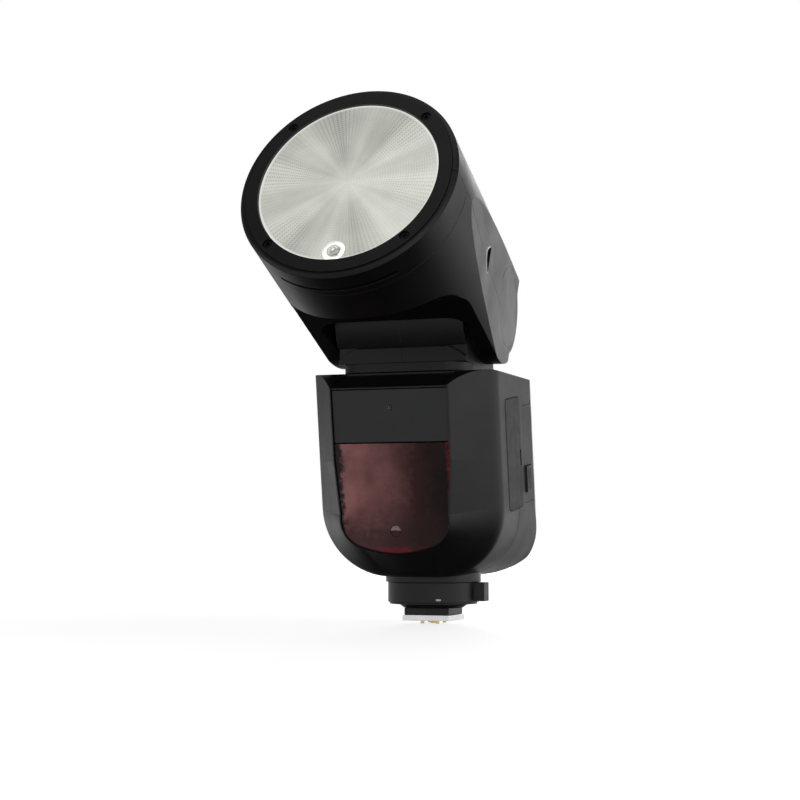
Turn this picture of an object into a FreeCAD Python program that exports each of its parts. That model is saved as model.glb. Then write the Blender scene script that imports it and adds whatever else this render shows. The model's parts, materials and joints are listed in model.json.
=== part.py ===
import FreeCAD, Part
import math
import os

# Speedlight flash with a round zoom head, in millimetres. Origin at the centre of the foot plate's bottom,
# +Z up, -Y towards the flash's front, +X on the side of the battery and the port cover.
# The head is built upright about its own tilt axis (+Z to the lens, -Y its underside), then tilted to rest.

# Driving dimensions
HEAD_TILT = 25.8                 # head axis above the horizontal at rest, degrees
BODY_LEAN = 8.2                  # forward lean of the body, degrees
SEAM_Y = 1.4                     # where the shells' seam plane meets the foot plate's plane
PIVOT_Y = -7.0
PIVOT_Z = 113.4
DECK_Z = 88.3                    # top of the body
WALL = 2.2                       # shell thickness
GAP = 0.15                       # play around loose pieces
SEAM = 0.22                      # open line between neighbouring shells
RUN = 0.05                       # radial clearance of running fits

# Head
BARREL_R = 38.0
BARREL_Y = -4.1                  # barrel axis, from the tilt axis
RIM_Z = 86.3                     # front face, from the tilt axis
SHELL_END_Z = RIM_Z - 0.4
BORE_R = 35.2
LEDGE_Z = 83.1                   # the front ring rests here
RING_INNER_R = 31.45
RING_OUTER_R = 36.0
SCREW_CIRCLE_R = 33.6
LAMP_OFFSET = 27.6
CHIN_Y = -24.6
OPENING_HALF = 27.5
OPENING_Z = 32.3
OPENING_REAR_HALF = 24.6         # the opening narrows towards the rear end
REAR_R = 18.0
BEZEL_Z = 75.0
OPTICS_Z = 36.0                  # floor of the optics space
CAP_R = 14.6
CAP_FLOOR_X = 29.3
CAP_MID_X = 31.3
CAP_SLOPE = 0.097                # taper of the head's sides towards the rear end
SHAFT_R = 5.0

# Zoom optics
CARRIAGE_Z = 51.0
CARRIAGE_T = 3.0
GUIDE_X = 26.0
GUIDE_Y = BARREL_Y + 6.0
LEAD_Y = BARREL_Y + 27.0

# Neck
YOKE_HALF = 24.0
YOKE_BACK = 15.4
YOKE_R = 32.0
YOKE_BACK_R = 18.5
PLATE_Z = 88.6
PLATE_TOP_Z = 91.8
SHOULDER_Z = 97.3
HUB_R = 14.95
HUB_LOW_R = 12.0

# Body
HALF_W = 34.3
CORNER_R = 24.8
BOTTOM_Z = 16.1
CREASE = -20.6                   # depths are measured from the seam plane, the front negative
PANEL = -37.1
FRAME_FRONT = -38.1
CREASE_SOFT = 2.2                # the crease is rounded this far each side of it
OUTLINE_TOP_Z = 100.0            # the body's outlines run past the deck, which is cut later
BACK = 37.0
WINDOW_TOP_Z = 63.0
PANEL_TOP_Z = 81.4
PANEL_THICK = 2.2
FLOOR_Z = 21.0                   # inner floor of the body shells
PORT = (-12.0, 5.4, 41.4, 81.2)  # depths and heights of the port cover, in the body's frame
BATTERY = (9.4, 30.6, 42.0, 77.4)
CONTACT_DEPTHS = (13.0, 18.5, 24.0)
LATCH = (10.0, 15.5, 45.8, 55.2)

# Controls on the back face, in the body's frame
LCD = (22.0, 51.5, 78.5)         # half width and heights of the display
DIAL_Z = 30.5
DIAL_R = 12.5
SET_R = 6.2
BUTTON_Z = 47.0
BOARD_FACE = 33.1

# Shoe
FOOT_W = 18.6
FOOT_L = 17.4
FOOT_T = 2.0
RING_R = 16.7
POST_R = 10.4
LOCK_RING_LOW_Z = 6.0
LOCK_RING_TOP_Z = 13.9

V = FreeCAD.Vector
X_AXIS = V(1, 0, 0)
Y_AXIS = V(0, 1, 0)
Z_AXIS = V(0, 0, 1)
LEAN_SLOPE = math.tan(math.radians(BODY_LEAN))
FACE = BACK * math.cos(math.radians(BODY_LEAN))
BIG = 200.0


# Shape helpers

def block(x0, x1, y0, y1, z0, z1):
    return Part.makeBox(x1 - x0, y1 - y0, z1 - z0, V(x0, y0, z0))


def rod(radius, x, y, z0, z1):
    return Part.makeCylinder(radius, z1 - z0, V(x, y, z0), Z_AXIS)


def rod_x(radius, y, z, x0, x1):
    return Part.makeCylinder(radius, x1 - x0, V(x0, y, z), X_AXIS)


def rod_y(radius, x, z, y0, y1):
    return Part.makeCylinder(radius, y1 - y0, V(x, y0, z), Y_AXIS)


def tube(outer, inner, x, y, z0, z1):
    return rod(outer, x, y, z0, z1).cut(rod(inner, x, y, z0 - 1, z1 + 1))


def on_plane(path, place):
    """Closed wire through a path; a pair (middle, end) in it is a round stretch."""
    edges = []
    here = path[0]
    for step in list(path[1:]) + [path[0]]:
        is_arc = isinstance(step[0], tuple)
        end = step[1] if is_arc else step
        if place(*here).distanceToPoint(place(*end)) > 1e-6:
            if is_arc:
                edges.append(Part.Arc(place(*here), place(*step[0]), place(*end)).toShape())
            else:
                edges.append(Part.makeLine(place(*here), place(*end)))
        here = end
    return Part.Wire(edges)


def extrude(path, place, direction):
    return Part.Face(on_plane(path, place)).extrude(direction)


def prism_x(path, x0, x1):
    return extrude(path, lambda y, z: V(x0, y, z), V(x1 - x0, 0, 0))


def prism_y(path, y0, y1):
    return extrude(path, lambda x, z: V(x, y0, z), V(0, y1 - y0, 0))


def prism_z(path, z0, z1):
    return extrude(path, lambda x, y: V(x, y, z0), V(0, 0, z1 - z0))


def revolve_z(path, x, y):
    return Part.Face(on_plane(path, lambda r, z: V(x + r, y, z))).revolve(V(x, y, 0), Z_AXIS, 360)


def rounded(half_x, y0, y1, front_r, back_r):
    """Plan outline symmetric about X = 0 with round corners."""
    f = front_r * (1 - math.sqrt(0.5))
    b = back_r * (1 - math.sqrt(0.5))
    return [(-half_x + front_r, y0), (half_x - front_r, y0),
            ((half_x - f, y0 + f), (half_x, y0 + front_r)), (half_x, y1 - back_r),
            ((half_x - b, y1 - b), (half_x - back_r, y1)), (-half_x + back_r, y1),
            ((-half_x + b, y1 - b), (-half_x, y1 - back_r)), (-half_x, y0 + front_r),
            ((-half_x + f, y0 + f), (-half_x + front_r, y0))]


def union(shapes):
    first = shapes[0]
    return first.fuse(shapes[1:]).removeSplitter() if len(shapes) > 1 else first


def cut(shape, tools):
    return shape.cut(tools)


def polar(radius, degrees, y=BARREL_Y):
    angle = math.radians(degrees)
    return radius * math.cos(angle), y + radius * math.sin(angle)


def save(name, shape):
    solids = shape.Solids
    if len(solids) == 1:
        shape = solids[0]
    else:
        shape = Part.Compound(solids)
    if not shape.isValid() or not solids:
        raise ValueError("bad shape: " + name)
    shape.exportStep("parts/" + name + ".step")


# Placement

def head_place(shape):
    """From the upright head's frame to the tilted head at rest."""
    placed = shape.copy()
    placed.rotate(V(0, 0, 0), X_AXIS, 90 - HEAD_TILT)
    placed.translate(V(0, PIVOT_Y, PIVOT_Z))
    return placed


def body_place(shape):
    """From the body's own frame (seam plane Y = 0, Z along the lean) to the row frame."""
    placed = shape.copy()
    placed.rotate(V(0, 0, 0), X_AXIS, BODY_LEAN)
    placed.translate(V(0, SEAM_Y, 0))
    return placed


def lean_plane(depth):
    return lambda x, z: V(x, SEAM_Y - LEAN_SLOPE * z + depth, z)


def lean_slab(path, depth0, depth1):
    return extrude(path, lean_plane(depth0), V(0, depth1 - depth0, 0))


def lean_prism(plan, z0, z1):
    """Plan outline (x, depth) extruded along the body's lean, with level ends."""
    height = z1 - z0
    lift = V(0, -LEAN_SLOPE * height, height)
    return extrude(plan, lambda x, d: V(x, SEAM_Y - LEAN_SLOPE * z0 + d, z0), lift)


# Head shells

def barrel():
    bevel = 1.0
    return revolve_z([(0, -BIG), (BARREL_R, -BIG), (BARREL_R, SHELL_END_Z - bevel),
                      (BARREL_R - bevel, SHELL_END_Z), (0, SHELL_END_Z)], 0, BARREL_Y)


def head_side_profile():
    """Side view: ramp up from the barrel to the chin, round rear end, back wall."""
    return [(-60, SHELL_END_Z + 1), (-60, 62), (-42.2, 61.2), ((-37.6, 58.4), (-33.1, 56.3)),
            ((-29.0, 52.9), (-26.6, 47.5)), ((-25.0, 43.0), (CHIN_Y, 38)), (CHIN_Y, 8),
            ((-17.2, -10.0), (-4.0, -REAR_R + 0.4)), ((8.0, -REAR_R + 0.9), (18.0, -13.4)),
            ((28.6, -6.4), (34.4, 5.0)), (60, 12), (60, SHELL_END_Z + 1)]


def ear_boss(side):
    """Round boss under each hub cap, blended into the rear end."""
    face_plane = [(-60, -60), (CAP_MID_X - 60 * CAP_SLOPE, -60), (CAP_MID_X + 60 * CAP_SLOPE, 60), (-60, 60)]
    boss = rod_x(REAR_R - 1.2, 0, 0, 22, 60).common(prism_y(face_plane, -60, 60))
    return boss if side > 0 else boss.mirror(V(0, 0, 0), X_AXIS)


def head_plan_profile():
    """Front view of the rear end: sides lean in towards the ears and round under them."""
    def side_x(z):
        return CAP_MID_X + CAP_SLOPE * z
    low = -10.0
    top = 82.0
    end_half = 22.0
    right_arc = ((side_x(low) - 1.7, low - 4.6), (end_half, -REAR_R - 0.3))
    left_arc = ((-side_x(low) + 1.7, low - 4.6), (-side_x(low), low))
    return [(BARREL_R + 2, 100), (side_x(top), top), (side_x(low), low), right_arc,
            (-end_half, -REAR_R - 0.3), left_arc, (-side_x(top), top), (-BARREL_R - 2, 100)]


def yoke_room():
    """Space inside the head that the yoke sweeps as the head tilts."""
    path = [(-60, OPENING_Z), (-20, OPENING_Z), (-16.4, 28.4), ((2.3, 32.72), (20.4, 25.7)),
            (21.5, 5), (21.5, -2.0), (25.7, -9.4), (29.4, -7.3), (34, -15), (34, -60), (-60, -60)]
    room = prism_x(path, -OPENING_HALF, OPENING_HALF)
    corner_r = 7.0
    mouth = prism_z(rounded(OPENING_HALF, -BIG, -19.0, corner_r, 0.5), -60, OPENING_Z)
    corners = block(-OPENING_HALF, OPENING_HALF, -BIG, -20.6, OPENING_Z - corner_r, OPENING_Z + 1)
    keep = prism_y([(-OPENING_HALF, -60), (OPENING_HALF, -60), (OPENING_HALF, OPENING_Z - corner_r),
                    ((OPENING_HALF - 2.05, OPENING_Z - 2.05), (OPENING_HALF - corner_r, OPENING_Z)),
                    (-OPENING_HALF + corner_r, OPENING_Z),
                    ((-OPENING_HALF + 2.05, OPENING_Z - 2.05), (-OPENING_HALF, OPENING_Z - corner_r))],
                   -BIG, BIG)
    trimmed = room.common(mouth.fuse(room.cut(corners)))
    sides = prism_y([(OPENING_HALF, 60), (OPENING_HALF, OPENING_Z), (OPENING_REAR_HALF, 0),
                     (OPENING_REAR_HALF, -60), (-OPENING_REAR_HALF, -60), (-OPENING_REAR_HALF, 0),
                     (-OPENING_HALF, OPENING_Z), (-OPENING_HALF, 60)], -BIG, BIG)
    return trimmed.cut(corners.cut(keep)).common(sides)


def head_solid():
    side = prism_x(head_side_profile(), -50, 50)
    outer = barrel().common(side).common(prism_y(head_plan_profile(), -80, 80))
    outer = union([outer, ear_boss(-1), ear_boss(1)])
    side.translate(V(0, WALL, WALL))
    optics = rod(BORE_R, 0, BARREL_Y, OPTICS_Z, BEZEL_Z).common(side)
    optics = optics.fuse(rod(BORE_R, 0, BARREL_Y, BEZEL_Z, RIM_Z))
    ring_seat = rod(RING_OUTER_R + 0.05, 0, BARREL_Y, LEDGE_Z, RIM_Z)
    back_pocket = block(-18, 18, 23.5, 50, 2, OPTICS_Z + 1).common(rod(BARREL_R - WALL, 0, BARREL_Y, 0, 50))
    shell = cut(outer, [optics, ring_seat, yoke_room(), back_pocket])
    shell = union([shell] + ring_bosses() + [screw_end_boss()])
    for side in (-1, 1):
        x0, x1 = (CAP_FLOOR_X, 60) if side > 0 else (-60, -CAP_FLOOR_X)
        f0, f1 = (28.1, 40) if side > 0 else (-40, -28.1)
        shell = cut(shell, [rod_x(CAP_R + SEAM, 0, 0, x0, x1), rod_x(8.2, 0, 0, f0, f1)])
    shell = shell.cut(rod_x(SHAFT_R, 0, 0, -40, 40))
    return cut(shell, ring_screw_shanks() + [underside_slot(), rod(1.5 + RUN, 0, BARREL_Y + 27, 70, 80.6)])


def ring_bosses():
    inside = rod(BORE_R + 0.5, 0, BARREL_Y, 60, 90)
    return [rod(2.4, *polar(SCREW_CIRCLE_R, a), 70, 81.5).common(inside) for a in (45, 135, 225, 315)]


def screw_end_boss():
    inside = rod(BORE_R + 0.5, 0, BARREL_Y, 60, 90)
    return block(-3.5, 3.5, BARREL_Y + 23.5, BARREL_Y + 40, 78.5, 81.5).common(inside)


def underside_slot():
    """Thin groove across the underside just behind the rim."""
    half_angle = math.radians(32)
    reach = 60
    wedge = prism_z([(0, BARREL_Y), (-reach * math.sin(half_angle), BARREL_Y - reach * math.cos(half_angle)),
                     (reach * math.sin(half_angle), BARREL_Y - reach * math.cos(half_angle))], 77.8, 79.2)
    return wedge.cut(rod(BARREL_R - 1.2, 0, BARREL_Y, 70, 90))


def lower_half():
    """Everything on the chin's side of the head's parting line."""
    path = [(-2.9, 90), (-3.56, 75), (-5.8, 54), (-7.0, 31), (-7.0, 8), (-1.5, -12), (-1.5, -60),
            (-90, -60), (-90, 90)]
    return prism_x(path, -60, 60)


def split_head():
    whole = head_solid()
    lower = lower_half()
    upper = whole.cut(lower)
    lower.translate(V(0, -SEAM, 0))
    below = whole.common(lower)
    front = block(-60, 60, -90, 60, BEZEL_Z, 100)
    ahead = block(-60, 60, -90, 60, BEZEL_Z + SEAM, 100)
    parts = {"head_upper_shell": upper, "head_lower_shell": below.cut(front),
             "front_bezel": below.common(ahead)}
    return {name: largest(shape) for name, shape in parts.items()}


def largest(shape):
    return max(shape.Solids, key=lambda s: s.Volume)


# Head front

def ring_screw_shanks():
    return [rod(0.8, *polar(SCREW_CIRCLE_R, a), 74, RIM_Z + 1) for a in (45, 135, 225, 315)]


def front_ring():
    body = tube(RING_OUTER_R, RING_INNER_R, 0, BARREL_Y, LEDGE_Z + 0.1, RIM_Z)
    wells = [rod(1.75, *polar(SCREW_CIRCLE_R, a), RIM_Z - 1.4, RIM_Z + 1) for a in (45, 135, 225, 315)]
    shanks = [rod(0.95, *polar(SCREW_CIRCLE_R, a), 80, RIM_Z) for a in (45, 135, 225, 315)]
    magnets = [rod(1.35, *polar(SCREW_CIRCLE_R, a), LEDGE_Z, LEDGE_Z + 1.6) for a in magnet_angles()]
    return cut(body, wells + shanks + magnets)


def magnet_angles():
    return [a + 22.5 for a in range(0, 360, 45)]


def ring_magnets():
    places = [polar(SCREW_CIRCLE_R, angle) for angle in magnet_angles()]
    return union_apart([rod(1.3, x, y, LEDGE_Z + 0.1, LEDGE_Z + 1.5) for x, y in places])


def union_apart(shapes):
    """Separate solids kept together in one node."""
    return Part.Compound(shapes)


def pan_head_screw(x, y, z0, z1, shank_r, head_r, head_t):
    """Screw with a cross recess; its head is at z1."""
    screw = rod(shank_r, x, y, z0, z1 - head_t).fuse(rod(head_r, x, y, z1 - head_t, z1))
    arm = head_r * 0.6
    width = head_r * 0.16
    depth = head_t * 0.6
    recess = [block(x - arm, x + arm, y - width, y + width, z1 - depth, z1 + 1),
              block(x - width, x + width, y - arm, y + arm, z1 - depth, z1 + 1)]
    return cut(screw, recess)


def ring_screws():
    return union_apart([pan_head_screw(*polar(SCREW_CIRCLE_R, a), 74, RIM_Z - 0.5, 0.8, 1.55, 0.9)
                        for a in (45, 135, 225, 315)])


def fresnel_lens():
    lens = revolve_z([(0, 81.6), (35.0, 81.6), (35.0, LEDGE_Z), (RING_INNER_R - 0.1, LEDGE_Z),
                      (RING_INNER_R - 0.1, RIM_Z - 0.7), (0, RIM_Z - 0.7)], 0, BARREL_Y)
    holes = [rod(0.95, *polar(SCREW_CIRCLE_R, a), 80, 90) for a in (45, 135, 225, 315)]
    return cut(lens, holes + [rod(3.85, 0, BARREL_Y - LAMP_OFFSET, 80, 90)])


def lamp_dome():
    y = BARREL_Y - LAMP_OFFSET
    crown_r = 5.4
    crown_top = RIM_Z - 0.2
    return rod(3.75, 0, y, 81.0, RIM_Z).common(Part.makeSphere(crown_r, V(0, y, crown_top - crown_r)))


def modelling_lamp():
    y = BARREL_Y - LAMP_OFFSET
    return rod(5.0, 0, y, 78.6, 79.8).fuse(rod(2.2, 0, y, 79.8, 80.6))


def lamp_heat_sink():
    y0 = BARREL_Y - 32.8
    y1 = BARREL_Y - 23.2
    sink = block(-6.5, 6.5, y0, y1, 70, 78.5)
    slots = [block(x - 0.6, x + 0.6, y0 - 1, y1 + 1, 69, 76.5) for x in (-4.5, -1.5, 1.5, 4.5)]
    return cut(sink, slots)


# Zoom optics

def reflector():
    z = CARRIAGE_Z + CARRIAGE_T
    bowl = revolve_z([(0, z), (9.5, z), ((16.2, z + 5.0), (22.3, z + 12.0)), (21.4, z + 12.0),
                      ((15.3, z + 5.6), (8.9, z + 1.0)), (0, z + 1.0)], 0, BARREL_Y)
    return cut(bowl, [rod(1.3, x, BARREL_Y, z - 1, z + 3) for x in (-5, 5)])


def flash_tube():
    z = CARRIAGE_Z + CARRIAGE_T + 2.9
    ring = Part.makeTorus(5.0, 1.7, V(0, BARREL_Y, z), Z_AXIS)
    leads = [rod(1.2, x, BARREL_Y, CARRIAGE_Z - 2, z) for x in (-5, 5)]
    return union([ring] + leads)


def zoom_carriage():
    z0, z1 = CARRIAGE_Z, CARRIAGE_Z + CARRIAGE_T
    plate = rod(16.0, 0, BARREL_Y, z0, z1)
    bar = block(-GUIDE_X - 2.6, GUIDE_X + 2.6, GUIDE_Y - 2.6, GUIDE_Y + 2.6, z0, z1)
    arm = block(-3.2, 3.2, BARREL_Y, LEAD_Y + 3.2, z0, z1)
    holes = [rod(1.0 + RUN, x, GUIDE_Y, z0 - 1, z1 + 1) for x in (-GUIDE_X, GUIDE_X)]
    holes += [rod(1.5 + RUN, 0, LEAD_Y, z0 - 1, z1 + 1), rod(7.0, 0, BARREL_Y, z0 - 1, z1 + 1)]
    return cut(union([plate, bar, arm]), holes)


def guide_rods():
    return union_apart([rod(1.0, x, GUIDE_Y, OPTICS_Z, 81.5) for x in (-GUIDE_X, GUIDE_X)])


def zoom_motor():
    return rod(6.0, 0, LEAD_Y, OPTICS_Z, 48).cut(rod(1.0, 0, LEAD_Y, 46, 49))


def lead_screw():
    return rod(1.5, 0, LEAD_Y, 48.2, 80.5).fuse(rod(0.95, 0, LEAD_Y, 46.2, 48.2))


# Tilt joint

def tilt_shaft(side):
    shape = rod_x(SHAFT_R - 0.01, 0, 0, 18, 28.2).fuse(rod_x(8.0, 0, 0, 28.2, 29.2))
    return shape if side > 0 else shape.mirror(V(0, 0, 0), X_AXIS)


def hub_cap(side):
    face_plane = [(-60, -60), (CAP_MID_X - 60 * CAP_SLOPE, -60), (CAP_MID_X + 60 * CAP_SLOPE, 60), (-60, 60)]
    cap = rod_x(CAP_R, 0, 0, CAP_FLOOR_X, 60).common(prism_y(face_plane, -60, 60))
    return cap if side > 0 else cap.mirror(V(0, 0, 0), X_AXIS)


# Neck, about the tilt axis: (depth from the tilt axis, height above it)

def yoke_profile():
    def front(radius, degrees):
        angle = math.radians(degrees)
        return (-radius * math.cos(angle), radius * math.sin(angle))
    foot = PLATE_TOP_Z - PIVOT_Z
    return [(-27.4, foot), (-27.4, SHOULDER_Z - PIVOT_Z - 0.3), front(YOKE_R, -29.8),
            (front(YOKE_R, 4), front(YOKE_R, 38)), (-13.5, 12.65),
            ((0, YOKE_BACK_R), (13.0, 13.16)), ((15.6, 6.8), (YOKE_BACK, -8)), (YOKE_BACK, foot)]


def yoke():
    shape = prism_x(yoke_profile(), -YOKE_HALF, YOKE_HALF)
    shape.translate(V(0, PIVOT_Y, PIVOT_Z))
    inner = block(-20, 20, PIVOT_Y - 20, PIVOT_Y + 10, PIVOT_Z - 17, PIVOT_Z + 9)
    bore = rod_x(SHAFT_R + RUN, PIVOT_Y, PIVOT_Z, -40, 40)
    round_back = prism_z(rounded(YOKE_HALF, PIVOT_Y - 60, PIVOT_Y + YOKE_BACK, 0.5, 12.0), 80, 160)
    shape = shape.common(round_back)
    return cut(shape.cut(shoulder_ends()), [inner, bore, rod(8, 0, PIVOT_Y, 80, PIVOT_Z)])


def shoulder_ends():
    """The yoke's foot slopes down at its two ends, in front of the drum."""
    path = [(17.2, SHOULDER_Z), (21.2, 95.4), (YOKE_HALF + 1, 92.6), (YOKE_HALF + 1, SHOULDER_Z + 0.3),
            (17.2, SHOULDER_Z + 0.3)]
    right = prism_y(path, PIVOT_Y - 40, PIVOT_Y - 26.2)
    return right.fuse(right.mirror(V(0, 0, 0), X_AXIS))


def swivel_plate():
    plan = rounded(YOKE_HALF, PIVOT_Y - 28.0, PIVOT_Y + 16.0, 9.0, 12.0)
    plate = prism_z(plan, PLATE_Z, PLATE_TOP_Z - 0.01)
    hub = rod(HUB_R, 0, PIVOT_Y, 85.5, PLATE_Z).fuse(rod(HUB_LOW_R, 0, PIVOT_Y, 82.4, 85.5))
    return cut(union([plate, hub]), [rod(8, 0, PIVOT_Y, 80, PIVOT_Z)])


def swivel_retainer():
    return tube(18.5, HUB_LOW_R, 0, PIVOT_Y, 82.6, 85.4)


# Body shells

def mirrored(right):
    """U outline from its right half, listed from the top down to the middle of the bottom."""
    edge, knee, low, corner, heel, bottom = right
    return [(-edge[0], edge[1]), (-knee[0], knee[1]), (-low[0], low[1]),
            ((-corner[0], corner[1]), (-heel[0], heel[1])), (bottom, heel),
            (corner, low), knee, edge]


def body_half(inset=0.0):
    half = HALF_W - inset
    radius = CORNER_R - inset
    z = BOTTOM_Z + CORNER_R
    turn = radius * math.sqrt(0.5)
    centre = HALF_W - CORNER_R
    return [(half, OUTLINE_TOP_Z), (half, 57), (half, z), (centre + turn, z - turn), (centre, z - radius),
            (0, z - radius - 0.01)]


def panel_half(grow=0.0):
    g = grow
    return [(21.4 + g, OUTLINE_TOP_Z), (21.1 + g, 57), (19.7 + g, 38), (17.1 + 0.8 * g, 29.6 - 0.6 * g),
            (12.0 + 0.4 * g, 26.9 - g), (0, 24.9 - g)]


def body_outline(inset=0.0):
    return mirrored(body_half(inset))


def panel_outline(grow=0.0):
    return mirrored(panel_half(grow))


def between_outlines(share):
    """Outline part of the way from the body's (0) to the front panel's (1)."""
    pairs = zip(body_half(), panel_half(0.1))
    return mirrored([(b[0] + share * (p[0] - b[0]), b[1] + share * (p[1] - b[1])) for b, p in pairs])


def frame_loft(inset, front_depth, grow):
    """Sloping front of the body between the crease and the panel's edge."""
    back_wire = on_plane(body_outline(inset), lean_plane(CREASE))
    front_wire = on_plane(panel_outline(grow), lean_plane(front_depth))
    return Part.makeLoft([back_wire, front_wire], True, True)


def top_shoulder(drop=0.0):
    """Space above the body: level deck, falling away to the front."""
    z = DECK_Z - drop
    path = [(60, z), (-31, z), ((-41.0, z - 1.3), (-47.8, z - 5.4)), (-60, z - 17), (-60, 140), (60, 140)]
    return prism_x(path, -60, 60)


def plan_back(inset=0.0):
    s = HALF_W - inset
    b = BACK - inset
    return [(-s, SEAM), (s, SEAM), (s, 16),
            ((31.6 - inset, 29.0 - inset), (23.5 - inset, b)), (-23.5 + inset, b),
            ((-31.6 + inset, 29.0 - inset), (-s, 16))]


def back_corner(inset=0.0):
    """Side view of the body's round lower back edge."""
    z = BOTTOM_Z + inset
    y = SEAM_Y - LEAN_SLOPE * BOTTOM_Z + BACK - inset
    return prism_x([(-90, z), (y - 15, z), ((y - 4.4, z + 4.4), (y - 1.4, z + 16)), (y + 30, z + 20),
                    (y + 30, 120), (-90, 120)], -60, 60)


def rear_solid(inset=0.0):
    solid = lean_prism(plan_back(inset), 10, 100)
    outline = prism_y(body_outline(inset), -90, 90)
    return solid.common(outline).common(back_corner(inset))


def front_solid():
    """Front half of the body: straight sides, a soft crease, a slope and a small bevel round the panel."""
    run = CREASE - FRAME_FRONT
    soft = CREASE_SOFT / run
    sections = [(0, 0)]
    for step in range(-2, 3):
        share = soft * step / 2
        sections.append((CREASE - run * share, (share + soft) ** 2 / (4 * soft)))
    sections += [(FRAME_FRONT + 0.5, 0.95), (FRAME_FRONT, 1)]
    wires = [on_plane(between_outlines(share), lean_plane(depth)) for depth, share in sections]
    return Part.makeLoft(wires, True, True)


def front_room():
    inner = lean_slab(body_outline(WALL), CREASE, 1)
    taper = frame_loft(WALL, PANEL + PANEL_THICK + 0.1, -1.6)
    return union([inner, taper])


def deck_and_floor_room():
    return block(-60, 60, -90, 90, FLOOR_Z, DECK_Z - 2.5).cut(top_shoulder(2.5))


def shell_screw_places():
    return [(side * x, z) for side in (-1, 1) for x, z in ((28.6, 81.7), (25.5, 31.0))]


def screw_bosses(radius, depth0, depth1):
    return [body_place(rod_y(radius, x, z, depth0, depth1)) for x, z in shell_screw_places()]


def boss_ribs(depth0, depth1):
    """Ribs that tie the screw bosses to the shell's sides and bottom."""
    ribs = []
    for side in (-1, 1):
        x0, x1 = (28.6, HALF_W) if side > 0 else (-HALF_W, -28.6)
        ribs.append(body_place(block(x0, x1, depth0, depth1, 83.0, 84.4)))
        middle = side * 25.5
        ribs.append(body_place(block(middle - 0.8, middle + 0.8, depth0, depth1, 17.0, 31.0)))
    return ribs


def port_recess(grow):
    d0, d1, z0, z1 = PORT
    r = 2.0 + grow
    path = rounded_yz(d0 - grow, d1 + grow, z0 - grow, z1 + grow, r)
    return body_place(prism_x(path, 33.0 - grow, 50))


def rounded_yz(y0, y1, z0, z1, r):
    k = r * (1 - math.sqrt(0.5))
    return [(y0 + r, z0), (y1 - r, z0), ((y1 - k, z0 + k), (y1, z0 + r)), (y1, z1 - r),
            ((y1 - k, z1 - k), (y1 - r, z1)), (y0 + r, z1), ((y0 + k, z1 - k), (y0, z1 - r)), (y0, z0 + r),
            ((y0 + k, z0 + k), (y0 + r, z0))]


def socket_windows():
    return [body_place(block(20, 40, -8.5, -2.5, z, z + 9)) for z in (44, 58)]


def swivel_hole():
    return rod(HUB_R + RUN, 0, PIVOT_Y, 80, 100)


def shoe_pocket():
    return rod(17.6, 0, 0, 0, 18.5)


def shoe_screw_places():
    return [(x, y) for x in (-6.4, 6.4) for y in (-5.6, 5.6)]


def front_shell():
    room = front_room().common(deck_and_floor_room())
    shell = front_solid().cut(room)
    panel_seat = lean_slab(panel_outline(0.18), -60, PANEL + PANEL_THICK + 0.1)
    shell = shell.cut(panel_seat.common(block(-60, 60, -90, 90, 0, PANEL_TOP_Z + 0.2)))
    shell = shell.cut(lean_slab(panel_outline(0.1), -60, PANEL))
    opening = lean_slab(panel_outline(-1.5), -60, CREASE)
    shell = shell.cut(opening.common(block(-60, 60, -90, 90, 28, PANEL_TOP_Z - 2)))
    supports = screw_bosses(2.8, -11, 0) + boss_ribs(-11, 0)
    shell = union([shell] + [support.common(front_solid()) for support in supports])
    tools = screw_bosses(1.0, -10, 2) + socket_windows()
    tools += [top_shoulder(), port_recess(SEAM), swivel_hole(), shoe_pocket(), sunk_shoulder()]
    tools += [rod(1.0, x, y, 10, 30) for x, y in shoe_screw_places()]
    return largest(cut(shell, tools))


def sunk_shoulder():
    """The shoulder between the frame's arms lies a little below them."""
    half = 21.5
    return top_shoulder(0.9).common(block(-half, half, -90, -34.5, 60, 120))


def front_panel():
    slab = lean_slab(panel_outline(), PANEL, PANEL + PANEL_THICK)
    slab = slab.common(block(-60, 60, -90, 90, WINDOW_TOP_Z + 0.2, PANEL_TOP_Z))
    return slab.cut(panel_rod(0.85, 0, 75.0))


def panel_rod(radius, x, z):
    y = SEAM_Y - LEAN_SLOPE * z
    return rod_y(radius, x, z, y + PANEL - 3, y + PANEL + PANEL_THICK + 2)


def panel_indicator():
    y = SEAM_Y - LEAN_SLOPE * 75.0 + PANEL
    return rod_y(0.8, 0, 75.0, y - 0.1, y + 3.0)


def sensor_window():
    slab = lean_slab(panel_outline(), PANEL, PANEL + PANEL_THICK)
    slab = slab.common(block(-60, 60, -90, 90, 20, WINDOW_TOP_Z - 0.2))
    return slab.cut(panel_rod(2.05, 0, 32.4))


def optical_sensor():
    z = 32.4
    y = SEAM_Y - LEAN_SLOPE * z + PANEL
    body = rod_y(1.95, 0, z, y + 0.25, y + 6.5)
    return body.fuse(rod_y(3.2, 0, z, y + 2.9, y + 4.6))


def assist_lamp():
    """Focus-assist lamp behind the red window."""
    lamp = block(-9, 9, -32.5, -28.0, 42, 56)
    lenses = [rod_y(3.0, x, 49, -34.0, -32.5) for x in (-4.5, 4.5)]
    return body_place(union([lamp] + lenses))


def rear_shell():
    room = rear_solid(WALL).common(deck_and_floor_room())
    shell = rear_solid().cut(room)
    shell = union([shell] + [b.common(rear_solid()) for b in screw_bosses(2.9, 0, 60)])
    heads = [body_place(rod_y(2.1, x, z, 6.0, 60)) for x, z in shell_screw_places()]
    tools = heads + screw_bosses(1.05, -1, 10) + socket_windows()
    tools += [top_shoulder(), port_recess(SEAM), swivel_hole(), shoe_pocket(), battery_room(SEAM, 60)]
    tools += back_openings() + [rod(1.0, x, y, 10, 30) for x, y in shoe_screw_places()]
    return largest(cut(shell, tools))


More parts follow.
